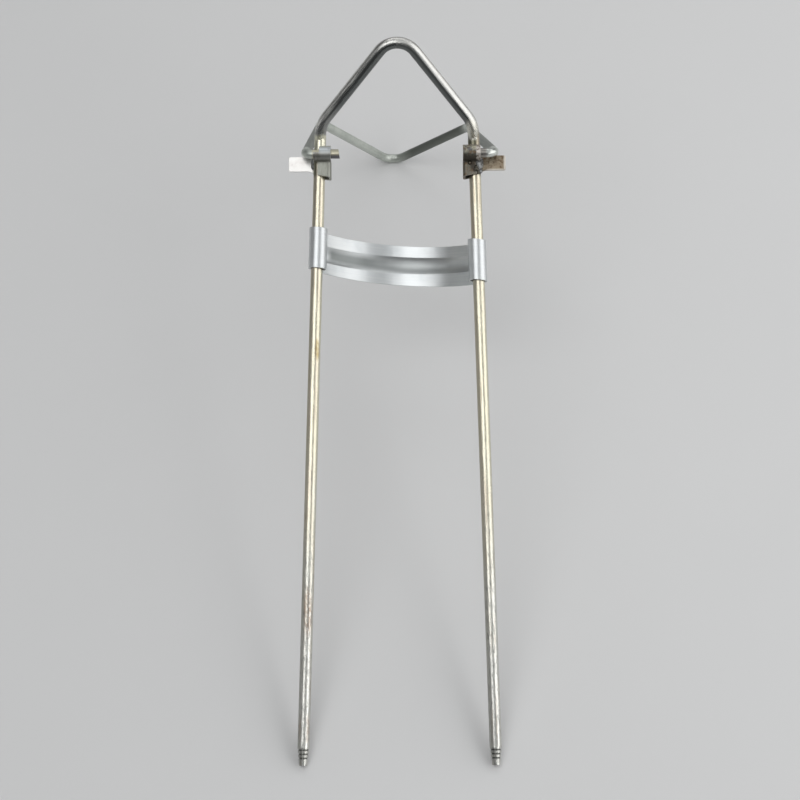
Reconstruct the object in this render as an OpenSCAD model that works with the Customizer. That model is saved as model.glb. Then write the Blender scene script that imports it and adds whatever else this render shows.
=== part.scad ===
// Folding wire rod holder: a two-legged frame with a peak, a swinging V rest and a sliding strap

/* [Main frame] */
// Diameter of the frame rod
rod_d = 6; // [5:0.1:7]
// Length of a leg from its point to the bend under the peak
leg_length = 318; // [240:1:382]
// Distance between the leg points
foot_spacing = 95.6; // [80:0.2:114.8]
// Distance between the legs at the bend
bend_spacing = 79; // [66:0.2:94.8]
// Forward lean of the peak from the line of the legs, in degrees
peak_lean = 38.9; // [30:0.1:50]
// Distance from the bend to the point where the limbs of the peak would meet
peak_height = 59.3; // [52:0.1:66]
// Offset of the peak to the right
peak_offset = 0.9; // [0:0.1:3]
// Length of the neck between the bend and the turn of a limb
neck_length = 7.8; // [7.7:0.1:12]
// Centreline radius of the bend on top of a leg
leg_bend_r = 5; // [4:0.1:5.4]
// Centreline radius of the turn from a neck into a limb
limb_bend_r = 18; // [8:0.5:18]
// Centreline radius of the bend at the peak
peak_bend_r = 11.2; // [6:0.1:12]

/* [Leg points] */
// Length of the tapered point
point_length = 9; // [7.5:0.5:14]
// Diameter of the blunt end
point_d = 3.9; // [3:0.1:4.5]
// Number of turned grooves
groove_count = 3; // [1:1:3]
// Distance from the blunt end to the first groove
groove_start = 3.6; // [2:0.1:3.6]
// Distance from one groove to the next
groove_pitch = 2; // [1.5:0.1:2]
// Width of a groove
groove_w = 0.7; // [0.4:0.1:1]
// Depth of a groove
groove_depth = 0.4; // [0.2:0.1:0.6]

/* [Rod rest] */
// Diameter of the wire
wire_d = 4.8; // [4:0.1:5.7]
// Distance from the bend on a leg down to the pins
pin_drop = 9.4; // [7:0.1:20]
// Distance from the axis of a leg out to the arm, at the pins
elbow_reach = 8.9; // [8.7:0.1:12]
// Distance between the arms at the V
corner_spacing = 81.3; // [74:0.1:88]
// Length of an arm
arm_length = 93.2; // [78:0.1:111.8]
// Angle from the upward line of the legs back to the arms, in degrees
arm_angle = 65.7; // [58:0.1:76]
// Distance from the arms to the point where the limbs of the V would meet
v_depth = 54.5; // [46:0.5:64]
// Bend of the V from the line of the arms, in degrees
v_bend = 31.8; // [15:0.1:40]
// Offset of the tip of the V to the left
v_offset = 5; // [0:0.1:6]
// Offset of the corners of the V to the left
corner_shift = 2.6; // [0:0.1:4]
// Distance of the right corner past the left corner, along the V
corner_skew = 7; // [0:0.1:10]
// Offset of the pins and the arms to the right
rest_shift = 1.7; // [0:0.1:1.7]
// Centreline radius of an elbow
elbow_r = 4; // [3.5:0.1:4.2]
// Centreline radius of the corner between an arm and the V
corner_r = 8; // [4:0.5:12]
// Centreline radius at the tip of the V
v_tip_r = 8; // [5:0.5:12]
// Length of the left pin past its clip
left_pin_overhang = 4.6; // [0:0.1:6]
// Slope of the sheared end of the left pin, in degrees
pin_cut_angle = 8; // [0:1:40]

/* [Pivot clips] */
// Thickness of the clip sheet
clip_sheet = 1.2; // [0.8:0.1:1.5]
// Reach of a clip from the axis of its leg towards the middle
clip_inward = 5.9; // [5.5:0.1:7]
// Reach of the front plate past the axis of its leg, outwards
plate_outward = 1; // [0:0.1:2]
// Distance from the pin to the bottom of a clip
clip_drop = 11.7; // [10:0.1:14]
// Rise of the bottom edge from the inner to the outer side
bottom_rise = 1.2; // [0:0.1:2.5]
// Distance from the bottom of the back plate to the bottom of the fold
back_rise = 1.1; // [0:0.1:2.5]
// Outside radius of the fold
fold_r = 2; // [1.6:0.1:2.5]
// Reach of a wing from the axis of its leg
wing_reach = 16.2; // [13:0.1:19]
// Height of a wing
wing_h = 7.8; // [6:0.1:8.5]
// Corner radius of a wing
wing_corner_r = 1; // [0.5:0.1:2]
// Radius between a wing and the back plate
wing_root_r = 3.2; // [1:0.1:3.2]
// Length of the upper foot of a saddle
saddle_foot = 1; // [0.5:0.1:1.2]
// Reach of a saddle past the axis of its leg, outwards
saddle_outward = 3; // [0:0.1:3]
// Width of the notch in the upper outer corner of the left saddle
left_notch = 3; // [0.5:0.1:3]
// Radius of the weld bead between a leg and a wing
bead_r = 1.5; // [1:0.1:2]
// Length of the weld bead
bead_length = 4.5; // [3:0.5:6]

/* [Cradle strap] */
// Thickness of the strap sheet
strap_sheet = 0.7; // [0.5:0.1:1]
// Height of the strap
strap_h = 21; // [16:0.5:22]
// Distance from the bend on a leg down to the middle of the strap
strap_drop = 61; // [60:0.5:120]
// Height of the left end over the right end
strap_skew = 6.8; // [0:0.1:7]
// Depth of the middle of the strap behind the legs
strap_bulge = 28.5; // [23.5:0.5:34]
// Part of a turn that a rolled end covers, in degrees
roll_turn = 298; // [270:1:300]
// Radius of the pressed groove
press_r = 9.5; // [7:0.1:11]
// Depth of the pressed groove
press_depth = 1.1; // [0.6:0.1:1.3]
// Part of the curve left plain beyond each end of the groove, in degrees
press_margin = 6; // [4:1:12]

/* [Fits] */
// Radial clearance of a pin in its saddle
pin_clearance = 0.1; // [0.05:0.01:0.1]
// Gap between a pin and the leg behind it
pin_gap = 0.3; // [0.3:0.05:0.5]
// Gap between the leg and the plates of a clip
plate_gap = 0.05; // [0.02:0.01:0.1]
// Gap between an arm and the top of the wing that stops it
stop_gap = 0.3; // [0.2:0.05:0.5]
// Radial clearance of a sleeve on its leg
sleeve_clearance = 0.95; // [0.8:0.01:1.2]
// Offset of a sleeve from the axis of its leg towards the middle
sleeve_offset = 0.35; // [0.3:0.01:0.4]

/* [Hidden] */
$fn = 64;
overlap = 1;

// Where two lengths of one piece meet, the finer one runs into the other
joint_lap = 0.3;
joint_step = 0.03;

rod_r = rod_d / 2;
point_r = point_d / 2;
wire_r = wire_d / 2;

// Every piece is laid out with the legs flat: x to the right, y up the legs, z to the front
leg_slope = (foot_spacing - bend_spacing) / 2 / leg_length;
leg_line = unit([-leg_slope, 1, 0]);
peak_line = [0, cos(peak_lean), sin(peak_lean)];
right_foot = [leg_x(0), 0, 0];
right_bend = [leg_x(leg_length), leg_length, 0];
right_turn = right_bend + neck_length * peak_line - [leg_slope * neck_length, 0, 0];
peak = [peak_offset, leg_length, 0] + peak_height * peak_line;
frame_half = [right_foot + (point_length - joint_lap) * leg_line, right_bend, right_turn];
frame_points = concat(frame_half, [peak], [for (i = [2:-1:0]) flip(frame_half[i])]);
frame_bends = [0, leg_bend_r, limb_bend_r, peak_bend_r, limb_bend_r, leg_bend_r, 0];

pin_y = leg_length - pin_drop;
pin_z = rod_r + wire_r + pin_gap;
pin_leg_x = leg_x(pin_y);
arm_line = [0, cos(arm_angle), -sin(arm_angle)];
v_line = [0, cos(arm_angle + v_bend), -sin(arm_angle + v_bend)];
pin_centre = [0, pin_y, pin_z];
v_corner = pin_centre + arm_length * arm_line;
pin_end = pin_leg_x - clip_inward;
rest_points = [
    pin_centre + [pin_end, 0, 0],
    pin_centre + [pin_leg_x + elbow_reach + rest_shift, 0, 0],
    v_corner + corner_skew / 2 * v_line + [corner_spacing / 2 - corner_shift, 0, 0],
    v_corner + v_depth * v_line - [v_offset, 0, 0],
    v_corner - corner_skew / 2 * v_line - [corner_spacing / 2 + corner_shift, 0, 0],
    pin_centre - [pin_leg_x + elbow_reach - rest_shift, 0, 0],
    pin_centre - [pin_end - left_pin_overhang, 0, 0]
];
rest_bends = [0, elbow_r, corner_r, v_tip_r, corner_r, elbow_r, 0];
v_tip = bend_centre(rest_points, 3, v_tip_r) + v_tip_r * v_line;

// The stand leans until the points of the legs and the tip of the V touch the ground together
tip_reach = [v_tip[1], v_tip[2] + point_r];
lean = asin(wire_r / norm(tip_reach)) - atan2(tip_reach[1], tip_reach[0]);
back_y = v_tip[1] * cos(lean) - v_tip[2] * sin(lean) + wire_r;
front_y = -point_r * sin(lean);
ground_z = -point_r * cos(lean);

saddle_bore_r = wire_r + pin_clearance;
saddle_r = saddle_bore_r + clip_sheet;
plate_z = rod_r + plate_gap;
plate_top = -saddle_bore_r - stop_gap;
back_drop = clip_drop - back_rise;
wing_depth = pin_z + plate_z;
steep_arm = rest_points[2] - rest_points[1];
stop_angle = atan2(-steep_arm[2], steep_arm[1]);
wing_top = wing_depth / tan(stop_angle) - wire_r / sin(stop_angle) - stop_gap;

strap_level = leg_length - strap_drop;
sleeve_bore_r = rod_r + sleeve_clearance;
sleeve_x = leg_x(strap_level) - sleeve_offset;
roll_r = sleeve_bore_r + strap_sheet / 2;
strap_r = (pow(sleeve_x, 2) + pow(strap_bulge, 2) - pow(roll_r, 2)) / (2 * (strap_bulge - roll_r));
strap_angle = asin(sleeve_x / (strap_r - roll_r));
strap_tilt = atan(strap_skew / (2 * sleeve_x));
leg_splay = atan(leg_slope);
wall_slope = leg_slope * sin(strap_angle);
press_centre_r = strap_r - strap_sheet / 2 + press_depth - press_r;
press_angle = strap_angle - press_margin;
wall_sheet = strap_sheet - 2 * joint_step;
roll_lap = joint_lap / roll_r * 180 / PI;
blank_h = strap_h + strap_skew + 4 * overlap;
blank_w = foot_spacing + 2 * wing_reach;

function unit(v) = v / norm(v);
function flip(p) = [-p[0], p[1], p[2]];
function leg_x(y) = foot_spacing / 2 - leg_slope * y;
function run(points, i) = unit(points[i + 1] - points[i]);
function turn(points, i) = acos(run(points, i - 1) * run(points, i));
function setback(points, bends, i) = bends[i] * tan(turn(points, i) / 2);
function bend_centre(points, i, r) =
    points[i] + unit(run(points, i) - run(points, i - 1)) * r / cos(turn(points, i) / 2);

// Puts the children's z axis along one direction and their x axis along another, square to it
module place(origin, along, across) {
    side = cross(along, across);
    multmatrix([
        [across[0], side[0], along[0], origin[0]],
        [across[1], side[1], along[1], origin[1]],
        [across[2], side[2], along[2], origin[2]],
        [0, 0, 0, 1]
    ]) children();
}

// Any direction square to the given one
function square_to(v) = unit(cross(v, abs(v[2]) < 0.9 ? [0, 0, 1] : [1, 0, 0]));

// A round rod through the points, with a round bend at each inner point
module bent_rod(points, bends, radius) {
    last = len(points) - 1;
    for (i = [0:last - 1]) {
        line = run(points, i);
        start = points[i] + line * (i == 0 ? 0 : setback(points, bends, i) - joint_lap);
        finish = points[i + 1] - line * (i + 1 == last ? 0 : setback(points, bends, i + 1) - joint_lap);
        place(start, line, square_to(line)) cylinder(h = norm(finish - start), r = radius);
    }
    for (i = [1:last - 1]) {
        before = run(points, i - 1);
        centre = bend_centre(points, i, bends[i]);
        start = points[i] - before * setback(points, bends, i);
        place(centre, unit(cross(before, run(points, i))), unit(start - centre))
            rotate_extrude(angle = turn(points, i)) translate([bends[i], 0]) circle(r = radius - joint_step);
    }
}

// A rectangle with round corners, given by two opposite corners
module round_rect(low, high, r) {
    translate(low + [r, 0]) square(high - low - [2 * r, 0]);
    translate(low + [0, r]) square(high - low - [0, 2 * r]);
    for (x = [low[0] + r, high[0] - r], y = [low[1] + r, high[1] - r]) translate([x, y]) circle(r = r);
}

// Leans the flat layout back so that it stands on the ground, centred
module stand() {
    translate([0, -(front_y + back_y) / 2, -ground_z]) rotate([lean, 0, 0]) children();
}

// The tapered end of a leg with its turned grooves, standing on its blunt end
module leg_point() {
    difference() {
        cylinder(h = point_length, r1 = point_r, r2 = rod_r - joint_step);
        for (i = [0:groove_count - 1]) {
            level = groove_start + i * groove_pitch;
            floor_r = point_r + (rod_r - point_r) * level / point_length - groove_depth;
            translate([0, 0, level - groove_w / 2]) difference() {
                cylinder(h = groove_w, r = rod_d);
                translate([0, 0, -overlap]) cylinder(h = groove_w + 2 * overlap, r = floor_r);
            }
        }
    }
}

module main_frame() {
    color([0.72, 0.71, 0.66]) stand() {
        bent_rod(frame_points, frame_bends, rod_r);
        place(right_foot, leg_line, [0, 0, 1]) leg_point();
        place(flip(right_foot), flip(leg_line), [0, 0, 1]) leg_point();
    }
}

module rod_rest() {
    color([0.60, 0.63, 0.60]) stand() difference() {
        bent_rod(rest_points, rest_bends, wire_r);
        translate(rest_points[6] + [0, -wire_r, 0]) rotate([0, 0, pin_cut_angle])
            translate([0, -wire_d, -wire_d]) cube([wire_d, 4 * wire_d, 2 * wire_d]);
    }
}

// Outline of the back plate with its wing, x outwards from the leg and y up from the pin
module back_outline() {
    wing_bottom = wing_top - wing_h;
    round_rect([0, wing_bottom], [wing_reach, wing_top], wing_corner_r);
    translate([fold_r - clip_inward, -back_drop])
        square([clip_inward - fold_r + rod_r, back_drop + wing_top]);
    difference() {
        translate([0, wing_bottom - wing_root_r]) square([rod_r + wing_root_r, wing_root_r + overlap]);
        translate([rod_r + wing_root_r, wing_bottom - wing_root_r]) circle(r = wing_root_r);
    }
}

// Section of the fold round the leg, x outwards from the leg and y to the front
module fold_section() {
    half = plate_z + clip_sheet;
    intersection() {
        difference() {
            round_rect([-clip_inward, -half], [wing_reach, half], fold_r);
            round_rect([clip_sheet - clip_inward, -plate_z], [wing_reach, plate_z], fold_r - clip_sheet);
        }
        translate([-2 * clip_inward, -2 * half]) square([2 * clip_inward + plate_outward, 4 * half]);
    }
}

// Section of the saddle over the pin, x up the leg from the pin and y to the front
module saddle_section() {
    difference() {
        union() {
            translate([0, pin_z]) circle(r = saddle_r);
            translate([-saddle_r, plate_z]) square([2 * saddle_r, pin_z - plate_z]);
            translate([0, plate_z]) square([saddle_r + saddle_foot, clip_sheet]);
        }
        translate([0, pin_z]) circle(r = saddle_bore_r);
        translate([-saddle_bore_r, 0]) square([2 * saddle_bore_r, pin_z]);
    }
}

// The clip on the right leg, in the flat layout
module pivot_clip() {
    difference() {
        translate([pin_leg_x, pin_y, 0]) {
            translate([0, 0, -plate_z - clip_sheet]) linear_extrude(clip_sheet) back_outline();
            difference() {
                place([0, -clip_drop, 0], [0, 1, 0], [1, 0, 0])
                    linear_extrude(clip_drop + plate_top) mirror([0, 1]) fold_section();
                translate([-clip_inward, -clip_drop, 0])
                    rotate([0, 0, atan(bottom_rise / (clip_inward + plate_outward))])
                        translate([-clip_inward, -clip_drop, -2 * rod_d])
                            cube([4 * clip_inward, clip_drop, 4 * rod_d]);
            }
            place([-clip_inward, 0, 0], [1, 0, 0], [0, 1, 0])
                linear_extrude(clip_inward + saddle_outward) saddle_section();
            translate([rod_r, wing_top - wing_h / 2, -plate_z])
                place([0, -bead_length / 2, 0], [0, 1, 0], [1, 0, 0]) cylinder(h = bead_length, r = bead_r);
        }
        place(right_foot, leg_line, [0, 0, 1]) cylinder(h = 2 * leg_length, r = rod_r + plate_gap / 2);
    }
}

module right_pivot_clip() {
    color([0.55, 0.52, 0.48]) stand() pivot_clip();
}

module left_pivot_clip() {
    color([0.78, 0.78, 0.76]) stand() mirror([1, 0, 0]) difference() {
        pivot_clip();
        translate([pin_leg_x + saddle_outward - left_notch, pin_y, 0])
            cube([left_notch + overlap, 2 * saddle_r, pin_z + 2 * saddle_r]);
    }
}

// The curved wall and both rolled ends of the strap, over height, standing along z with y to the back;
// the wall narrows upwards and the ends lean inwards with the legs
module strap_blank() {
    taper = wall_slope * blank_h / 2;
    translate([0, strap_bulge - strap_r, 0]) rotate([0, 0, 90 - strap_angle])
        rotate_extrude(angle = 2 * strap_angle) translate([strap_r, 0]) polygon([
            [taper - wall_sheet / 2, -blank_h / 2],
            [taper + wall_sheet / 2, -blank_h / 2],
            [wall_sheet / 2 - taper, blank_h / 2],
            [-wall_sheet / 2 - taper, blank_h / 2]
        ]);
    for (side = [0, 1]) mirror([side, 0, 0]) translate([sleeve_x, 0, 0]) rotate([0, -leg_splay, 0])
        rotate([0, 0, 90 - strap_angle - roll_turn]) rotate_extrude(angle = roll_turn + roll_lap)
            translate([sleeve_bore_r, -blank_h / 2]) square([strap_sheet, blank_h]);
}

// A ring along the pressed groove, following the skew of the strap
module press_ring(radius, angle) {
    translate([0, strap_bulge - strap_r, 0]) rotate([0, strap_tilt, 0]) rotate([0, 0, 90 - angle])
        rotate_extrude(angle = 2 * angle) translate([press_centre_r, 0]) circle(r = radius);
}

module cradle_strap() {
    color([0.86, 0.87, 0.88]) stand() translate([0, strap_level, 0]) rotate([-90, 0, 0]) intersection() {
        difference() {
            union() {
                strap_blank();
                difference() {
                    press_ring(press_r + strap_sheet, press_angle);
                    translate([0, strap_bulge - strap_r, -blank_h]) cylinder(h = 2 * blank_h, r = strap_r);
                }
            }
            press_ring(press_r, press_angle);
        }
        rotate([0, strap_tilt, 0]) cube([2 * blank_w, 2 * blank_w, strap_h], center = true);
    }
}

main_frame();
rod_rest();
left_pivot_clip();
right_pivot_clip();
cradle_strap();
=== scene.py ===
"""Looks for a folding wire rod holder: plated frame, dull wire rest, welded clips and a sheet strap"""
import math

import bmesh
import bpy
from mathutils import Matrix, Vector, noise


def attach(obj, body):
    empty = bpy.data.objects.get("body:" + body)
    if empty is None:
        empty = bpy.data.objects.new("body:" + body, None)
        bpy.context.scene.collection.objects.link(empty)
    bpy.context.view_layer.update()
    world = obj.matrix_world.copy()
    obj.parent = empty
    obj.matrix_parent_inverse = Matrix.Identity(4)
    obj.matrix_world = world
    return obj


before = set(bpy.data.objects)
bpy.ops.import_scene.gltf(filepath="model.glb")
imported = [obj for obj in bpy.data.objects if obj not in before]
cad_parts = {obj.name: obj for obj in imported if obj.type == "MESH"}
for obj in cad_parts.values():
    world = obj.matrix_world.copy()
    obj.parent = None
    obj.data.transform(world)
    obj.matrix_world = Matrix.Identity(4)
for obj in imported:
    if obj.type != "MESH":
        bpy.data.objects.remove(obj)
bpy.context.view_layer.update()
MM = 0.001


def rgb(red, green, blue):
    """A colour of full strength"""
    return (red, green, blue, 1.0)


# The legs lie flat in a layout of their own: x to the right, y up the legs, z to the front
LEAN = math.radians(20.6888)
LEG_UP = Vector((0, math.cos(LEAN), math.sin(LEAN)))
LEG_FRONT = Vector((0, -math.sin(LEAN), math.cos(LEAN)))
LEG_ORIGIN = Vector((0, -182.7515, 1.82425)) * MM

# Legs, in millimetres of that layout
ROD_R = 3
FOOT_X = 47.8
LEG_SLOPE = 0.0261
BEND_Y = 318
POINT_GROOVES = (3.6, 5.6, 7.6)

# Limbs of the peak: up the right limb, to its outer side, to its front, and where it leaves the bend
LIMB_LINE = Vector((-0.598, 0.624, 0.503)).normalized()
LIMB_SIDE = LIMB_LINE.cross(Vector((0, 0, 1))).normalized()
LIMB_FACE = LIMB_SIDE.cross(LIMB_LINE)
LIMB_START = Vector((39.3, 6.07, 4.9))

# The round bend at the top of the peak
PEAK_LEAN = math.radians(38.9)
PEAK_CENTRE = Vector((0.9, 349.57, 25.47))
PEAK_TOP_Y = 364
PEAK_BEND_R = 11.4
LIMB_SPREAD = 0.746

# Clips, pins and strap: the pin's height, the leg beside it, the front plate and the strap's middle
PIN_Y = 308.6
PIN_LEG_X = 39.745
CLIP_BOTTOM = 296.9
SHEET_Z = 4.25
STRAP_Y = 257
STRAP_TILT = 0.083

# Welds: the width of each bead, the points that it follows, and its skin
WING_WELD_WIDTH = 3.3
WING_WELD_GAP = 0.1
WING_WELD_Z = -2.9
WING_WELD_ENDS = (-6.3, -0.3)
PLATE_WELD_WIDTH = 3.4
PLATE_WELD = ((41.0, 305.4, 3.5), (41.6, 303.4, 3.0), (42.1, 301.2, 2.2), (42.4, 298.6, 0.9))
EDGE_WELD_WIDTH = 2.6
EDGE_WELD = ((39.9, 302.9, 3.5), (40.7, 300.6, 3.3), (41.2, 298.0, 2.5))
RING_WIDTH = 0.75
RING_CENTRE = Vector((37.4, 303.9, SHEET_Z))
RING_R = 0.9
RING_STEPS = 24
WELD_SIDES = 18
WELD_STEPS_PER_MM = 9
WELD_LEAST_STEPS = 12
RIPPLES_PER_MM = 1.1
RIPPLE_DEPTH = 0.14
LUMP_SCALE = 0.7
LUMP_DEPTH = 0.16
BLUNT_END = 0.02

# Room, in metres: each soft panel has a name, a place, a width, a height and a brightness
FLOOR_REACH = 4.0
FLOOR_DARK = rgb(0.69, 0.69, 0.69)
FLOOR_LIGHT = rgb(0.71, 0.71, 0.71)
ROOM_COLOUR = rgb(0.97, 0.99, 1.0)
ROOM_GLOW = 0.15
CEILING_GLOW = 0.33
PANEL_AIM = Vector((0, 0, 0.06))
SOFT_PANELS = (
    ("right_panel", (1.1, 0.05, 0.64), 1.5, 1.2, 1.45),
    ("front_panel", (0.85, -0.85, 0.58), 0.8, 0.6, 1.3),
    ("top_panel", (-0.44, -0.22, 1.2), 0.85, 1.0, 1.5),
    ("left_panel", (-1.25, -0.1, 0.36), 0.7, 0.5, 0.45),
    ("back_panel", (0.1, 1.2, 0.95), 1.8, 0.9, 0.9),
)

# Camera: its lens in millimetres, its angles and its place in metres
SENSOR_WIDTH = 36
LENS = 87.007
CAMERA_ELEVATION = math.radians(61.926)
CAMERA_HEADING = math.radians(1.885)
CAMERA_ROLL = math.radians(-2.029)
CAMERA_PLACE = (0.016136, -0.472976, 0.930074)


def at(x, y, z):
    """A point of the flat layout in the standing frame, in metres"""
    return LEG_ORIGIN + (Vector((x, 0, 0)) + LEG_UP * y + LEG_FRONT * z) * MM


class Wire:
    """A value that varies over a surface; arithmetic on it adds Math nodes"""

    def __init__(self, finish, socket):
        self.finish = finish
        self.socket = socket

    def __add__(self, other):
        return self.finish.math("ADD", self, other)

    def __sub__(self, other):
        return self.finish.math("SUBTRACT", self, other)

    def __rsub__(self, other):
        return self.finish.math("SUBTRACT", other, self)

    def __mul__(self, other):
        return self.finish.math("MULTIPLY", self, other)

    def __truediv__(self, other):
        return self.finish.math("DIVIDE", self, other)

    def __pow__(self, other):
        return self.finish.math("POWER", self, other)

    def __abs__(self):
        return self.finish.math("ABSOLUTE", self)

    __radd__ = __add__
    __rmul__ = __mul__


class Nodes:
    """The node tree of a finish or of the room"""

    def __init__(self, owner):
        owner.use_nodes = True
        self.tree = owner.node_tree

    def feed(self, socket, value):
        """Links a value to a socket, or sets a plain number or colour there"""
        if isinstance(value, Wire):
            self.tree.links.new(value.socket, socket)
        else:
            socket.default_value = value

    def node(self, kind, settings, values, output=0):
        """A new node with its settings and inputs; gives back one of its outputs"""
        made = self.tree.nodes.new(kind)
        for name, value in settings.items():
            setattr(made, name, value)
        for name, value in values.items():
            self.feed(made.inputs[name], value)
        return Wire(self, made.outputs[output])

    def math(self, operation, *values):
        return self.node("ShaderNodeMath", {"operation": operation}, dict(enumerate(values)))

    def greater(self, first, second):
        return self.math("MAXIMUM", first, second)

    def band(self, value, low, high):
        """0 on the far side of low, 1 on the far side of high, smooth between"""
        return self.node("ShaderNodeMapRange", {"interpolation_type": "SMOOTHSTEP"},
                         {"Value": value, "From Min": low, "From Max": high})


class Finish(Nodes):
    """A procedural material with one glossy shader"""

    def __init__(self, name):
        self.material = bpy.data.materials.new(name)
        super().__init__(self.material)
        self.shader = self.tree.nodes["Principled BSDF"]
        self.point = self.node("ShaderNodeTexCoord", {}, {}, "Object")

    def along(self, direction, origin):
        """Distance from the origin in one direction, in millimetres"""
        dot = self.node("ShaderNodeVectorMath", {"operation": "DOT_PRODUCT"},
                        {0: self.point, 1: Vector(direction) / MM}, "Value")
        return dot - Vector(direction).dot(origin) / MM

    def layout(self):
        """x, y and z of the flat layout, in millimetres"""
        return (self.along((1, 0, 0), LEG_ORIGIN), self.along(LEG_UP, LEG_ORIGIN),
                self.along(LEG_FRONT, LEG_ORIGIN))

    def vector(self, x, y, z):
        return self.node("ShaderNodeCombineXYZ", {}, {"X": x, "Y": y, "Z": z})

    def grain(self, place, scale, detail=3.0, roughness=0.55):
        """Cloudy noise from 0 to 1"""
        return self.node("ShaderNodeTexNoise", {}, {
            "Vector": place, "Scale": scale, "Detail": detail, "Roughness": roughness})

    def blend(self, share, first, second):
        """A colour that turns from the first to the second"""
        return self.node("ShaderNodeMix", {"data_type": "RGBA"}, {0: share, 6: first, 7: second}, 2)

    def spot(self, first, second, centre, reach):
        """1 in the middle of an oval patch, fading to 0 at its rim"""
        across = (first - centre[0]) / reach[0]
        along = (second - centre[1]) / reach[1]
        return self.band(across * across + along * along, 1.0, 0.15)

    def rounded(self, radius):
        """The surface direction with sharp edges eased, as tumbled sheet has"""
        return self.node("ShaderNodeBevel", {"samples": 4}, {"Radius": radius * MM})

    def edges(self, eased):
        """1 along sharp edges, 0 on plain faces"""
        plain = self.node("ShaderNodeNewGeometry", {}, {}, "Normal")
        dot = self.node("ShaderNodeVectorMath", {"operation": "DOT_PRODUCT"}, {0: eased, 1: plain}, "Value")
        return self.band(dot, 0.995, 0.9)

    def surface(self, colour, roughness, height, relief, metallic=1.0, eased=None):
        """Joins everything to the shader; relief is the height of a full swing in millimetres"""
        values = {"Strength": 1.0, "Distance": relief * MM, "Height": height}
        if eased:
            values["Normal"] = eased
        normal = self.node("ShaderNodeBump", {}, values)
        self.feed(self.shader.inputs["Base Color"], colour)
        self.feed(self.shader.inputs["Roughness"], roughness)
        self.feed(self.shader.inputs["Normal"], normal)
        self.feed(self.shader.inputs["Metallic"], metallic)
        return self.material


# Plated rod: the colours of its plating, lit and with painted shade, and of its marks
BRIGHT_PLATING = rgb(0.68, 0.68, 0.64)
BRIGHT_AGED = rgb(0.71, 0.675, 0.535)
# Copies of the plating with painted shade, for the back and left side of each leg
SHADED_SIDE_PLATING = rgb(0.44, 0.44, 0.41)
SHADED_SIDE_AGED = rgb(0.47, 0.44, 0.35)
PINK_BLUSH = rgb(0.66, 0.57, 0.49)
BROWN_STREAK = rgb(0.42, 0.31, 0.22)
HEAT_DRIP = rgb(0.36, 0.26, 0.17)
OCHRE_STAIN = rgb(0.40, 0.31, 0.14)
RED_RUST = rgb(0.34, 0.22, 0.15)
GREY_SCUFF = rgb(0.20, 0.20, 0.19)
# Near-black rings in the grooves of the points
DARK_GROOVE_RINGS = rgb(0.07, 0.07, 0.065)
# Painted light and shade beside the clips: shade on the outer flanks, cream light above the left clip,
# olive shade above the right
FLANK_PAINTED_SHADE = rgb(0.19, 0.185, 0.13)
CREAM_PAINTED_LIGHT = rgb(0.76, 0.75, 0.61)
OLIVE_PAINTED_SHADE = rgb(0.11, 0.11, 0.075)
LIMB_GREY = rgb(0.58, 0.58, 0.56)
LIMB_BRIGHT = rgb(0.72, 0.71, 0.68)
# Painted shade for the limbs' inner sides, and a painted highlight for the right bend
LIMB_PAINTED_SHADE = rgb(0.105, 0.115, 0.115)
LIMB_PAINTED_HIGHLIGHT = rgb(0.78, 0.76, 0.68)
# Heat tint with painted shade, for the right leg's outer flank near the bend
HEAT_TAN_AND_SHADE = rgb(0.42, 0.37, 0.29)
BROWN_SPECK = rgb(0.22, 0.19, 0.15)

# Single marks on the rod: the middle of each in x and y of the layout, and its reach
STAIN_SPOT = ((-40.9, 208), (1.3, 7))
RUST_SPOT = ((-45.3, 75), (2.6, 16))
TIP_RUST_SPOT = ((-47.2, 18), (3.4, 10))
# Painted highlight on the right bend
BEND_HIGHLIGHT_SPOT = ((38.6, 319.5), (4.6, 7.5))
# Heat tint with painted shade on the right leg's outer flank
HEAT_AND_SHADE_SPOT = ((42.3, 315), (1.7, 7))

# Stretches of the rod in x, y and z of the layout; each pair is where a mark starts and where it is full
LEFT_HALF_X = (1, -1)
RIGHT_LEG_X = (30, 34)
AGED_Y = (40, 170)
SCUFFED_Y = (170, 70)
WELD_HEAT_Y = (CLIP_BOTTOM - 30, CLIP_BOTTOM)
# Where the painted shade lies on the outer flanks beside the clips
SHADED_FLANK_Y = (PIN_Y - 12, PIN_Y - 9.5)
SHADED_FLANK_Z = (-2.5, -0.5)
SHADED_FLANK_SIDE = (PIN_LEG_X + 1.2, PIN_LEG_X + 2.2)
# Where the painted light lies above the left clip and the olive painted shade above the right
CREAM_Y = (PIN_Y + 1, PIN_Y + 3)
OLIVE_Y = (PIN_Y + 2, PIN_Y + 4)
GROOVE_BAND = (0.55, 0.3)
GREY_Y = (BEND_Y - 1.8, BEND_Y + 0.6)
LIMB_FOOT = (18, 5)
# Front part of the right bend that takes the painted highlight
BEND_HIGHLIGHT_Z = (1, 3)

# The grey of the limbs starts higher on the left, and the painted shade on its dark side follows the rim
# and back of the arch
LEFT_GREY_RISE = 3.1
ARCH_RIM_SHARE = 0.9
ARCH_BACK_SHARE = 0.435
# Sideways shift of the noise, so that the two legs differ
LEG_SHIFT = 2.5


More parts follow.
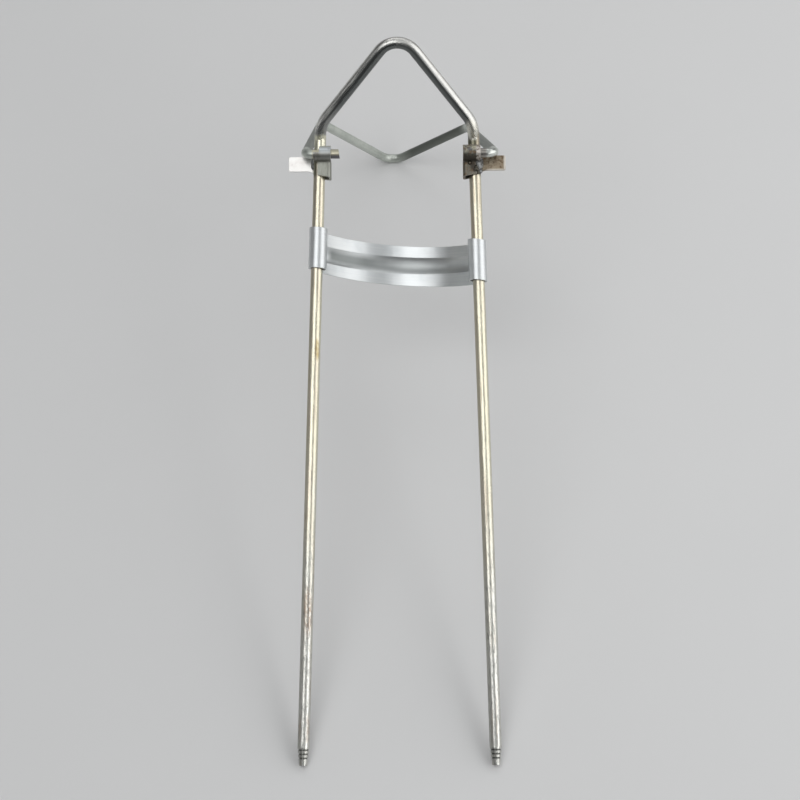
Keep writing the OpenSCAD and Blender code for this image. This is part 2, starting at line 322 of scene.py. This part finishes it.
class RodPlaces:
    """Where a point of the bent rod lies: on a leg or a limb, and across, before and along the rod"""

    def __init__(self, f):
        x, y, z = f.layout()
        self.f = f
        self.x, self.y, self.z = x, y, z
        self.side = abs(x - PEAK_CENTRE.x * f.band(y, BEND_Y + LIMB_START.y, PEAK_TOP_Y))
        self.left = f.band(x, *LEFT_HALF_X)
        self.leg_across = self.side + LEG_SLOPE * y - FOOT_X
        limb_side, limb_front, self.climb = [
            self.side * d[0] + (y - BEND_Y) * d[1] + z * d[2] - LIMB_START.dot(d)
            for d in (LIMB_SIDE, LIMB_FACE, LIMB_LINE)]
        arch, arch_side = self.arch()
        self.outward = limb_side * (1 - arch) + arch_side * arch
        drift = (f.grain(f.vector(x, y, z), 0.4, 3) - 0.5) * 2
        self.limb = f.band(y + z * 0.4 - self.left * LEFT_GREY_RISE + drift, *GREY_Y)
        leg = 1 - self.limb
        self.across = self.leg_across * leg + self.outward * self.limb
        self.front = z * leg + limb_front * self.limb
        self.length = y * leg + (self.climb + BEND_Y) * self.limb + x * LEG_SHIFT
        self.drawn = self.grain(0.012, 2.6, 4)
        self.clouds = self.grain(0.09, 0.35, 4)
        self.ragged = self.grain(0.3, 1.4, 4, 0.65)

    def arch(self):
        """1 on the round bend at the top, and how far a point lies to its bright side, away from the
        painted shade
        """
        sideways = self.x - PEAK_CENTRE.x
        above = self.y - PEAK_CENTRE.y
        ahead = self.z - PEAK_CENTRE.z
        rise = above * math.cos(PEAK_LEAN) + ahead * math.sin(PEAK_LEAN)
        facing = ahead * math.cos(PEAK_LEAN) - above * math.sin(PEAK_LEAN)
        hoop = (sideways * sideways + rise * rise) ** 0.5 - PEAK_BEND_R
        on_arch = self.f.band(rise - abs(sideways) * LIMB_SPREAD, -1, 1)
        return on_arch, hoop * ARCH_RIM_SHARE - facing * ARCH_BACK_SHARE

    def grain(self, stretch, scale, detail, roughness=0.55):
        """Noise drawn out along the rod; a smaller stretch gives longer lines"""
        place = self.f.vector(self.across, self.front, self.length * stretch)
        return self.f.grain(place, scale, detail, roughness)

    def leg_grain(self, stretch, scale, detail, roughness=0.55):
        """The same noise for marks that lie on the legs alone"""
        place = self.f.vector(self.leg_across, self.z, self.length * stretch)
        return self.f.grain(place, scale, detail, roughness)


def leg_plating(f, rod, lit_side_and_polish):
    """Plating on the legs, with painted shade on the back and left side of each leg, yellowed and pinkish
    above the lower third
    """
    aged = f.band(rod.y + (rod.clouds - 0.5) * 120, *AGED_Y)
    bright = f.blend(aged, BRIGHT_PLATING, BRIGHT_AGED)
    shaded_side = f.blend(aged, SHADED_SIDE_PLATING, SHADED_SIDE_AGED)
    blush = f.band(rod.leg_grain(0.05, 0.45, 2), 0.5, 0.68) * aged
    return f.blend(blush * 0.45, f.blend(lit_side_and_polish, shaded_side, bright), PINK_BLUSH)


def leg_wear(f, rod, heat, colour):
    """Drips, a stain, rust, scuffs and dark grooves over the colour of the legs"""
    drip_place = f.vector(rod.leg_across, rod.front, rod.y * 0.03 + rod.left * 9)
    drips = f.band(f.grain(drip_place, 1.5, 2), 0.56, 0.66)
    colour = f.blend(drips * heat * 0.7, colour, HEAT_DRIP)
    stain = f.spot(rod.x, rod.y, *STAIN_SPOT) * f.band(rod.ragged, 0.25, 0.55)
    colour = f.blend(stain * 0.85, colour, OCHRE_STAIN)
    flank = f.band(abs(rod.leg_across), 0.9, 2.0)
    rust = f.greater(f.spot(rod.x, rod.y, *RUST_SPOT), f.spot(rod.x, rod.y, *TIP_RUST_SPOT) * flank)
    colour = f.blend(rust * f.band(rod.ragged, 0.3, 0.62) * 0.7, colour, RED_RUST)
    scuffs = f.band(rod.leg_grain(0.14, 1.7, 3, 0.6), 0.53, 0.62) * f.band(rod.y, *SCUFFED_Y)
    colour = f.blend(scuffs * 0.6, colour, GREY_SCUFF)
    for groove in POINT_GROOVES:
        colour = f.blend(f.band(abs(rod.y - groove), *GROOVE_BAND) * 0.9, colour, DARK_GROOVE_RINGS)
    return colour


def painted_light_by_clips(f, rod, colour):
    """The legs beside the clips: painted shade on the outer flanks, cream painted light above the left
    clip, olive painted shade above the right
    """
    # Painted shade on the outer flank of each leg beside its clip
    burnt = f.band(rod.y, *SHADED_FLANK_Y) * f.band(rod.side, *SHADED_FLANK_SIDE) * f.band(rod.z, *SHADED_FLANK_Z)
    colour = f.blend(burnt, colour, FLANK_PAINTED_SHADE)
    # Painted light on the left leg above its clip
    cream = rod.left * f.band(rod.y, *CREAM_Y)
    colour = f.blend(cream * 0.8, colour, CREAM_PAINTED_LIGHT)
    # Olive painted shade on the right leg above its clip
    olive_shade = f.band(rod.x, *RIGHT_LEG_X) * f.band(rod.y, *OLIVE_Y)
    return f.blend(olive_shade * 0.85, colour, OLIVE_PAINTED_SHADE)


def limb_plating(f, rod):
    """Cooler grey on the limbs, with painted shade along their inner sides and a painted highlight at the
    right bend
    """
    # Painted shade along the inner side of each limb, less at the foot of the left limb
    inner = f.band(rod.outward * 0.85 + (1 - rod.left) * 0.35 + (rod.drawn - 0.5) * 2.4, 0.9, -0.9)
    left_foot = rod.left * f.band(rod.climb, *LIMB_FOOT)
    grey = f.blend(f.band(rod.drawn, 0.35, 0.65), LIMB_GREY, LIMB_BRIGHT)
    grey = f.blend(inner * (0.9 - 0.3 * left_foot), grey, LIMB_PAINTED_SHADE)
    # Painted highlight on the right bend
    rubbed_and_sheen = f.spot(rod.x, rod.y, *BEND_HIGHLIGHT_SPOT) * f.band(rod.z, *BEND_HIGHLIGHT_Z)
    return f.blend(rubbed_and_sheen * 0.8, grey, LIMB_PAINTED_HIGHLIGHT)


def plated_rod():
    """Drawn rod with bright plating: yellowed legs with brown streaks, cooler grey limbs at the peak, and
    painted light and shade on the legs' sides, beside the clips, on the limbs and at the right bend
    """
    f = Finish("plated_rod")
    rod = RodPlaces(f)
    # Painted shade: the back and left side of each leg get the darker plating, and are also rougher
    rightward = rod.leg_across * (1 - rod.left * 2)
    lit_side_and_polish = f.band(rod.z * 0.5 + rightward * 0.85 + (rod.ragged - 0.5) * 1.6, -0.9, 1.2)
    heat = f.band(rod.y, *WELD_HEAT_Y) * (1 - rod.left * 0.6)
    streaks = f.band(rod.drawn + rod.clouds * 0.6 + heat * 0.06, 0.86, 1.08)
    colour = f.blend(streaks * 0.75, leg_plating(f, rod, lit_side_and_polish), BROWN_STREAK)
    colour = leg_wear(f, rod, heat, colour)
    colour = painted_light_by_clips(f, rod, colour)
    colour = f.blend(rod.limb, colour, limb_plating(f, rod))
    # Heat tint with painted shade on the right leg's outer flank near the bend
    colour = f.blend(f.spot(rod.x, rod.y, *HEAT_AND_SHADE_SPOT) * 0.85, colour, HEAT_TAN_AND_SHADE)
    specks = f.band(rod.grain(0.3, 3.2, 2), 0.63, 0.72)
    colour = f.blend(specks * 0.6, colour, BROWN_SPECK)
    roughness = 0.20 + 0.12 * rod.drawn + 0.14 * streaks + 0.08 * (1 - lit_side_and_polish)
    waves = rod.grain(0.16, 0.9, 3)
    fine = rod.grain(0.02, 9.0, 2)
    return f.surface(colour, roughness, waves + rod.drawn * 0.35 + rod.ragged * 0.25 + fine * 0.08, 0.11)


# Dull wire: its zinc, the marks of rubbing and heat, and painted shade
WIRE_SHADE = rgb(0.50, 0.53, 0.49)
WIRE_LIGHT = rgb(0.64, 0.67, 0.62)
WIRE_RUBBED = rgb(0.66, 0.68, 0.65)
WIRE_WARM = rgb(0.55, 0.51, 0.39)
# Painted shade for the underside of the left pin's sheared end
PIN_END_PAINTED_SHADE = rgb(0.15, 0.145, 0.18)
# Painted shade for the arms and the right limb of the V
WIRE_PAINTED_SHADE = rgb(0.12, 0.13, 0.115)
# Soot near the right clip, and painted shade on the right pin beside its saddle
WIRE_SOOT_AND_SHADE = rgb(0.22, 0.19, 0.17)

# Stretches of the wire in x, y and z of the layout; each pair is where a mark starts and where it is full
HINGE_Y = (313, 310)
HINGE_Z = (1, 4)
LEFT_PIN_X = (-20, -26)
RIGHT_PIN_X = (28, 30)
WARM_X = (-44, -42.6)
SHEARED_X = (-38, -36)
# Underside of the left pin's end that takes the painted shade
PIN_UNDERSIDE_Y = (PIN_Y - 0.8, PIN_Y - 1.7)
# Where the painted shade lies on the arms and the right limb of the V
ARM_FOOT_Z = (-72, -50)
ARM_TOP_Z = (2, -2)
V_RIGHT_X = (-6, 8)
V_TOP_Z = (-78, -86)
SOOT_X = (36, 44)
# Where the painted shade lies on the right pin, between its saddle and elbow
SADDLE_END_X = (41, 43)
ELBOW_X = (47, 45)


def dull_wire():
    """Dull zinc on the wire of the rest, greenish grey and brighter where it rubs, with painted shade on
    the arms, the right limb of the V, the right pin beside its saddle and under the left pin's end
    """
    f = Finish("dull_wire")
    x, y, z = f.layout()
    place = f.vector(x, y, z)
    clouds = f.grain(place, 0.09, 4)
    spangle = f.grain(place, 0.8, 3, 0.65)
    fine = f.grain(place, 6.0, 2)
    hinge = f.band(y, *HINGE_Y) * f.band(z, *HINGE_Z)
    left_pin = f.band(x, *LEFT_PIN_X) * hinge
    colour = f.blend(f.band(clouds + 0.4 * spangle, 0.5, 0.9), WIRE_SHADE, WIRE_LIGHT)
    rubbed_and_sheen = f.band(x, *RIGHT_PIN_X) * hinge
    colour = f.blend(rubbed_and_sheen * 0.7, colour, WIRE_RUBBED)
    warm = f.band(x, *WARM_X) * left_pin
    colour = f.blend(warm * 0.9, colour, WIRE_WARM)
    # Painted shade under the left pin's sheared end
    pin_end_shade = f.band(x, *SHEARED_X) * left_pin * f.band(y, *PIN_UNDERSIDE_Y)
    colour = f.blend(pin_end_shade * 0.85, colour, PIN_END_PAINTED_SHADE)
    # Painted shade on the arms and the right limb of the V
    arms = f.band(z, *ARM_FOOT_Z) * f.band(z, *ARM_TOP_Z)
    right_of_v = f.band(x, *V_RIGHT_X) * f.band(z, *V_TOP_Z)
    colour = f.blend(f.greater(arms * 0.75, right_of_v * 0.9), colour, WIRE_PAINTED_SHADE)
    soot = f.band(f.grain(place, 0.45, 4, 0.6), 0.58, 0.72) * f.band(x, *SOOT_X)
    # Painted shade on the right pin between its saddle and elbow, blended in with the soot
    shaded_beside_saddle = f.band(x, *SADDLE_END_X) * f.band(x, *ELBOW_X) * hinge
    colour = f.blend(f.greater(soot * 0.7, shaded_beside_saddle * 0.75), colour, WIRE_SOOT_AND_SHADE)
    roughness = 0.36 + 0.14 * spangle - 0.14 * rubbed_and_sheen
    return f.surface(colour, roughness, spangle + fine * 0.2, 0.05)


# Satin sheet: its zinc, the shade in the pressed groove and the worn edges
SHEET_GREY = rgb(0.63, 0.65, 0.66)
SHEET_LIGHT = rgb(0.68, 0.70, 0.70)
SHEET_CLOUD = rgb(0.56, 0.59, 0.60)
GROOVE_SHADE = rgb(0.22, 0.235, 0.23)
SHEET_EDGE = rgb(0.78, 0.79, 0.79)

# The shade in the groove: across the strap, up to its sleeves, deeper on the left and fainter on the right
GROOVE_HALF = (5.0, 1.0)
SLEEVE_X = (37.5, 34)
DEEP_X = (-8, -18)
FAINT_X = (19, 30)
SHEET_EASE = 0.3


def satin_sheet():
    """Clean satin zinc on the strap, with faint rolling lines round the curve"""
    f = Finish("satin_sheet")
    x, y, z = f.layout()
    across = y - STRAP_Y + x * STRAP_TILT
    rolled = f.grain(f.vector(x * 0.03, across, z * 0.03), 1.6, 4)
    clouds = f.grain(f.vector(x, y, z), 0.12, 3)
    dents = f.grain(f.vector(x, y, z), 0.055, 2)
    fine = f.grain(f.vector(x, y, z), 5.0, 2)
    eased = f.rounded(SHEET_EASE)
    worn = f.edges(eased)
    colour = f.blend(f.band(rolled, 0.3, 0.7), SHEET_GREY, SHEET_LIGHT)
    colour = f.blend(f.band(clouds, 0.5, 0.8) * 0.6, colour, SHEET_CLOUD)
    depth = 0.58 + 0.34 * f.band(x, *DEEP_X) - 0.46 * f.band(x, *FAINT_X)
    groove = f.band(abs(across), *GROOVE_HALF) * f.band(abs(x), *SLEEVE_X) * depth
    colour = f.blend(groove, colour, GROOVE_SHADE)
    colour = f.blend(worn * 0.7, colour, SHEET_EDGE)
    roughness = 0.29 + 0.08 * rolled + 0.08 * clouds - 0.04 * worn + 0.06 * groove
    return f.surface(colour, roughness, dents * 4 + rolled * 0.3 + fine * 0.12, 0.07, 1.0, eased)


# Pale clip: brushed plate, saddle with a painted highlight on its top and painted shade at its foot, wing
# and their marks
PLATE_SHADE = rgb(0.27, 0.275, 0.24)
PLATE_LIGHT = rgb(0.36, 0.365, 0.33)
# Painted shade for the saddle's foot and a painted highlight for its top
SADDLE_FOOT_PAINTED_SHADE = rgb(0.30, 0.30, 0.28)
SADDLE_CROWN_PAINTED_HIGHLIGHT = rgb(0.66, 0.70, 0.72)
SADDLE_LUMPS = rgb(0.19, 0.18, 0.155)
WING_LIGHT = rgb(0.74, 0.73, 0.71)
WING_CLOUD = rgb(0.69, 0.67, 0.65)
CLIP_SOOT = rgb(0.24, 0.23, 0.20)
CLIP_EDGE = rgb(0.72, 0.71, 0.68)

# Scorched clip: the same places after the heat of welding, with painted shade at the saddle's foot and
# under the saddle and a painted highlight on the wing's rim
BURNT_PLATE_SHADE = rgb(0.14, 0.13, 0.105)
BURNT_PLATE_LIGHT = rgb(0.20, 0.185, 0.155)
BLUE_HEAT = rgb(0.20, 0.205, 0.21)
STRAW_HEAT = rgb(0.60, 0.58, 0.46)
# Painted shade for the foot of the right saddle
RIGHT_SADDLE_FOOT_SHADE = rgb(0.13, 0.125, 0.105)
SADDLE_END = rgb(0.62, 0.58, 0.54)
TAN_WING = rgb(0.43, 0.37, 0.28)
BROWN_WING = rgb(0.31, 0.25, 0.18)
BROWN_MOTTLE = rgb(0.14, 0.09, 0.055)
# Black of the burns, also used as painted shadow under the right saddle
BLACK_BURN_AND_SHADOW = rgb(0.05, 0.042, 0.032)
# Worn edges, and a painted highlight along the wing's rim
EDGE_WEAR_AND_RIM_HIGHLIGHT = rgb(0.66, 0.62, 0.56)

# Single marks on the scorched clip: away from the leg and up from the pin, with their reach
RING_MARK = (-2.3, -4.7)
RING_MARK_OUTER = (1.5, 1.5)
RING_MARK_INNER = (0.8, 0.8)
BURN_SPOT = ((-0.8, -6.2), (1.7, 2.6))
PIT_SPOT = ((0.1, -8.3), (1.3, 1.7))

# Both clips: where the wing and the saddle start, and how far sharp edges are eased
WING_AWAY = (3.2, 4.6)
SADDLE_Z = (SHEET_Z, SHEET_Z + 0.7)
CLIP_EASE = 0.4


class ClipPlaces:
    """Where a point of a clip lies: away from the leg, up from the pin, on the wing, on the saddle"""

    def __init__(self, f):
        self.x, self.y, self.z = f.layout()
        self.point = f.vector(self.x, self.y, self.z)
        self.away = abs(self.x) - PIN_LEG_X
        self.up = self.y - PIN_Y
        self.wing = f.band(self.away, *WING_AWAY)
        self.saddle = f.band(self.z, *SADDLE_Z)


def pale_clip():
    """Bright plated sheet of the left clip, greyer on the pressed front plate, with a painted highlight on
    the saddle's top and painted shade at its foot
    """
    f = Finish("pale_clip")
    clip = ClipPlaces(f)
    clouds = f.grain(clip.point, 0.25, 4)
    fine = f.grain(clip.point, 4.0, 3, 0.6)
    brushed = f.grain(f.vector(clip.x, clip.y * 0.12, clip.z), 2.4, 3, 0.6)
    eased = f.rounded(CLIP_EASE)
    plate = f.blend(f.band(brushed, 0.3, 0.7), PLATE_SHADE, PLATE_LIGHT)
    # Painted light on the saddle: shaded at its foot, lit on its top
    crown = f.blend(f.band(clip.up, -1.6, 2.2), SADDLE_FOOT_PAINTED_SHADE, SADDLE_CROWN_PAINTED_HIGHLIGHT)
    lumps = f.band(f.grain(clip.point, 0.7, 3, 0.6) + 0.12 * f.band(clip.up, 0, -1.5), 0.46, 0.6)
    lumps = lumps * f.band(clip.away, -1.2, 0.4) * f.band(clip.up, 1.2, -0.4)
    crown = f.blend(lumps * 0.8, crown, SADDLE_LUMPS)
    colour = f.blend(clip.saddle, plate, crown)
    wing_colour = f.blend(f.band(clouds, 0.35, 0.7), WING_LIGHT, WING_CLOUD)
    colour = f.blend(clip.wing, colour, wing_colour)
    beside_weld = f.band(clip.away, *reversed(WING_AWAY)) * f.band(clip.z, -1, -2.5)
    soot = f.band(clouds + 0.3 * beside_weld, 0.62, 0.85)
    colour = f.blend(soot * 0.6, colour, CLIP_SOOT)
    colour = f.blend(f.edges(eased) * 0.6, colour, CLIP_EDGE)
    roughness = 0.36 + 0.14 * fine - 0.10 * clip.wing
    return f.surface(colour, roughness, clouds + brushed * 0.4 + fine * 0.3, 0.06, 1.0, eased)


def scorched_saddle(f, clip, clouds):
    """Blue and straw heat colours on the right saddle, painted shade at its foot and paler at its outer end
    """
    patches = f.band(f.grain(clip.point, 0.5, 4, 0.6), 0.42, 0.58)
    crown = f.blend(patches, BLUE_HEAT, STRAW_HEAT)
    # Painted shade at the foot of the saddle
    foot = f.band(clip.up + (clouds - 0.5) * 4, 1.4, -1.2)
    crown = f.blend(foot, crown, RIGHT_SADDLE_FOOT_SHADE)
    return f.blend(f.band(clip.away, 0.5, 1.1), crown, SADDLE_END)


def weld_burn(f, clip):
    """1 where welding burnt the right clip black: under the saddle, where the black also paints the
    saddle's shadow, beside the weld, a ring and a pit
    """
    away = clip.away
    up = clip.up
    swirl = (f.grain(clip.point, 0.8, 3, 0.6) - 0.5) * 5
    # Burn and painted shadow in a band under the saddle
    burn_and_shadow_below = f.band(up + swirl, -1.2, -2.6) * f.band(up, -5.2, -4.0) * f.band(away + swirl * 0.4, 1.6, 0.6)
    burn_and_shadow_below = burn_and_shadow_below * f.band(clip.z, SHEET_Z - 1.3, SHEET_Z)
    ring = f.spot(away, up, RING_MARK, RING_MARK_OUTER) - f.spot(away, up, RING_MARK, RING_MARK_INNER)
    beside = f.spot(away + swirl * 0.3, up + swirl * 0.3, *BURN_SPOT) * 0.8
    pit = f.spot(away, up, *PIT_SPOT)
    marks = f.greater(f.greater(ring * 0.75, beside), pit) * f.band(clip.z, 1, 3)
    return f.greater(burn_and_shadow_below * 0.9, marks)


def scorched_clip():
    """The right clip, tinted brown by the heat of welding and burnt dark beside the leg, with painted
    shadow under the saddle and a painted highlight on the wing's rim
    """
    f = Finish("scorched_clip")
    clip = ClipPlaces(f)
    clouds = f.grain(clip.point, 0.3, 5)
    fine = f.grain(clip.point, 3.5, 3, 0.6)
    mottle = f.band(f.grain(clip.point, 0.55, 3, 0.65), 0.47, 0.62)
    eased = f.rounded(CLIP_EASE)
    plate = f.blend(f.band(clouds, 0.3, 0.7), BURNT_PLATE_SHADE, BURNT_PLATE_LIGHT)
    colour = f.blend(clip.saddle, plate, scorched_saddle(f, clip, clouds))
    wing_colour = f.blend(f.band(clouds, 0.35, 0.65), TAN_WING, BROWN_WING)
    colour = f.blend(clip.wing, colour, wing_colour)
    colour = f.blend(mottle * 0.75, colour, BROWN_MOTTLE)
    burn_and_shadow = weld_burn(f, clip)
    # Black burns, with the painted shadow under the saddle
    colour = f.blend(burn_and_shadow, colour, BLACK_BURN_AND_SHADOW)
    # Painted highlight along the wing's outer and lower rim, beside the worn edges
    lower_rim = f.band(clip.up, -6.0, -6.6) * f.band(clip.away, 5, 8)
    rim = f.greater(f.band(clip.away, 14.9, 15.6), lower_rim * 0.8)
    colour = f.blend(f.greater(f.edges(eased) * 0.8, rim) * (1 - burn_and_shadow), colour, EDGE_WEAR_AND_RIM_HIGHLIGHT)
    roughness = 0.38 + 0.14 * fine + 0.15 * burn_and_shadow
    return f.surface(colour, roughness, clouds + fine * 0.5 + mottle * 0.3, 0.08, 1 - 0.5 * burn_and_shadow, eased)


# Weld metal: the dark and pale colour of each kind, and the straw flecks on all of them
WELD_DARK = rgb(0.10, 0.10, 0.10)
WELD_PALE = rgb(0.33, 0.335, 0.33)
SCALE_DARK = rgb(0.02, 0.018, 0.015)
SCALE_PALE = rgb(0.13, 0.12, 0.10)
CHAR_DARK = rgb(0.012, 0.01, 0.008)
CHAR_PALE = rgb(0.04, 0.034, 0.025)
STRAW_FLECK = rgb(0.30, 0.23, 0.15)


def weld_metal(name, dark, pale):
    """Rough weld metal that clouds between two colours, with straw flecks"""
    f = Finish(name)
    place = f.vector(*f.layout())
    clouds = f.grain(place, 0.7, 4, 0.6)
    fine = f.grain(place, 4.0, 3, 0.6)
    colour = f.blend(f.band(clouds, 0.35, 0.6), dark, pale)
    colour = f.blend(f.band(fine, 0.6, 0.8) * 0.5, colour, STRAW_FLECK)
    roughness = 0.34 + 0.25 * fine
    return f.surface(colour, roughness, clouds + fine * 0.4, 0.12)


def mesh_piece(name, bm, material, body):
    """A new piece of the object that moves with one body"""
    bmesh.ops.recalc_face_normals(bm, faces=bm.faces)
    mesh = bpy.data.meshes.new(name)
    bm.to_mesh(mesh)
    bm.free()
    for face in mesh.polygons:
        face.use_smooth = True
    mesh.materials.append(material)
    piece = bpy.data.objects.new(name, mesh)
    bpy.context.scene.collection.objects.link(piece)
    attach(piece, body)
    return piece


def point_along(path, walk):
    """The point at a distance along a path, and the path's direction there"""
    for a, b in zip(path, path[1:]):
        span = (b - a).length
        if walk <= span + 1e-9:
            break
        walk -= span
    line = (b - a).normalized()
    return a + line * walk, line


def weld_radius(share, total, width, closed):
    """Full in the middle of each drop, pinched between drops, and rounded off at open ends"""
    drop = (share * total * RIPPLES_PER_MM) % 1.0
    swell = math.sqrt(max(0.0, 1 - (2 * drop - 1) ** 2))
    radius = width / 2 * (1 - RIPPLE_DEPTH + RIPPLE_DEPTH * swell)
    if closed:
        return radius
    end = min(share, 1 - share) * total / (width / 2)
    return radius * math.sqrt(max(BLUNT_END, 1 - (1 - min(1.0, end)) ** 2))


def weld_run(name, path, width, closed, material):
    """A run of weld drops along a path: overlapping ripples with a lumpy skin"""
    bm = bmesh.new()
    rings = []
    total = sum((b - a).length for a, b in zip(path, path[1:]))
    count = max(WELD_LEAST_STEPS, int(total * WELD_STEPS_PER_MM))
    for i in range(count + (0 if closed else 1)):
        share = i / count
        centre, line = point_along(path, share * total)
        side = line.orthogonal().normalized()
        rise = line.cross(side)
        radius = weld_radius(share, total, width, closed)
        ring = []
        for j in range(WELD_SIDES):
            turn = 2 * math.pi * j / WELD_SIDES
            out = side * math.cos(turn) + rise * math.sin(turn)
            lump = noise.noise((centre + out * radius) * LUMP_SCALE) * LUMP_DEPTH
            ring.append(bm.verts.new(at(*(centre + out * radius * (1 + lump)))))
        rings.append(ring)
    pairs = list(zip(rings, rings[1:]))
    if closed:
        pairs.append((rings[-1], rings[0]))
    for near, far in pairs:
        for j in range(WELD_SIDES):
            k = (j + 1) % WELD_SIDES
            bm.faces.new((near[j], near[k], far[k], far[j]))
    if not closed:
        bm.faces.new(rings[0])
        bm.faces.new(rings[-1])
    return mesh_piece(name, bm, material, "frame")


def dress_steel():
    """Gives each piece of the frame, the rest and the strap its finish"""
    finishes = {
        "main_frame": plated_rod(),
        "rod_rest": dull_wire(),
        "cradle_strap": satin_sheet(),
        "left_pivot_clip": pale_clip(),
        "right_pivot_clip": scorched_clip(),
    }
    for name, finish in finishes.items():
        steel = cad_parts[name].data
        steel.materials.clear()
        steel.materials.append(finish)


def add_welds():
    """The welds that hold the clips on the legs, and a small burnt ring on the right front plate"""
    metal = weld_metal("weld_metal", WELD_DARK, WELD_PALE)
    scale = weld_metal("burnt_scale", SCALE_DARK, SCALE_PALE)
    for side, name in ((-1, "left"), (1, "right")):
        flank = side * (PIN_LEG_X + ROD_R + WING_WELD_GAP)
        path = [Vector((flank, PIN_Y + end, WING_WELD_Z)) for end in WING_WELD_ENDS]
        weld_run(name + "_wing_weld", path, WING_WELD_WIDTH, False, metal)
    path = [Vector(point) for point in PLATE_WELD]
    weld_run("right_plate_weld", path, PLATE_WELD_WIDTH, False, metal)
    path = [Vector(point) for point in EDGE_WELD]
    weld_run("right_edge_weld", path, EDGE_WELD_WIDTH, False, scale)
    turns = [2 * math.pi * i / RING_STEPS for i in range(RING_STEPS + 1)]
    path = [RING_CENTRE + Vector((math.cos(turn), math.sin(turn), 0)) * RING_R for turn in turns]
    char = weld_metal("burnt_ring", CHAR_DARK, CHAR_PALE)
    weld_run("right_weld_ring", path, RING_WIDTH, True, char)


def pale_floor():
    """A plain pale floor under the holder"""
    finish = Finish("pale_floor")
    mottle = finish.grain(finish.point, 9.0, 3)
    tone = finish.blend(mottle, FLOOR_DARK, FLOOR_LIGHT)
    finish.surface(tone, 0.65, mottle, 0.02, 0.0)
    mesh = bpy.data.meshes.new("floor")
    corners = [(x * FLOOR_REACH, y * FLOOR_REACH, 0) for x, y in ((-1, -1), (1, -1), (1, 1), (-1, 1))]
    mesh.from_pydata(corners, [], [(0, 1, 2, 3)])
    mesh.materials.append(finish.material)
    floor = bpy.data.objects.new("floor", mesh)
    bpy.context.scene.collection.objects.link(floor)


def studio():
    """Pale floor, a grey room that is lighter overhead, and soft panels round the holder"""
    pale_floor()
    world = bpy.data.worlds.new("room")
    room = Nodes(world)
    upward = room.node("ShaderNodeSeparateXYZ", {}, {
        "Vector": room.node("ShaderNodeTexCoord", {}, {}, "Generated")}, "Z")
    backdrop = world.node_tree.nodes["Background"]
    backdrop.inputs["Color"].default_value = ROOM_COLOUR
    room.feed(backdrop.inputs["Strength"], ROOM_GLOW + CEILING_GLOW * room.band(upward, 0.55, 0.95))
    bpy.context.scene.world = world
    for panel in SOFT_PANELS:
        soft_panel(*panel)


def soft_panel(name, place, width, height, glow):
    """An area lamp aimed at the middle of the holder; glow is its brightness"""
    lamp = bpy.data.lights.new(name, "AREA")
    lamp.shape = "RECTANGLE"
    lamp.size = width
    lamp.size_y = height
    lamp.energy = glow * math.pi * width * height
    panel = bpy.data.objects.new(name, lamp)
    panel.location = place
    aim = PANEL_AIM - Vector(place)
    panel.rotation_euler = aim.to_track_quat("-Z", "Y").to_euler()
    bpy.context.scene.collection.objects.link(panel)


def photo_camera():
    """The viewing angle of the picture"""
    lens = bpy.data.cameras.new("camera")
    lens.sensor_width = SENSOR_WIDTH
    lens.lens = LENS
    camera = bpy.data.objects.new("camera", lens)
    turn = (Matrix.Rotation(CAMERA_HEADING, 4, "Z")
            @ Matrix.Rotation(math.pi / 2 - CAMERA_ELEVATION, 4, "X")
            @ Matrix.Rotation(CAMERA_ROLL, 4, "Z"))
    camera.matrix_world = Matrix.Translation(CAMERA_PLACE) @ turn
    bpy.context.scene.collection.objects.link(camera)
    bpy.context.scene.camera = camera


bpy.context.scene.view_settings.view_transform = "Standard"
dress_steel()
add_welds()
studio()
photo_camera()
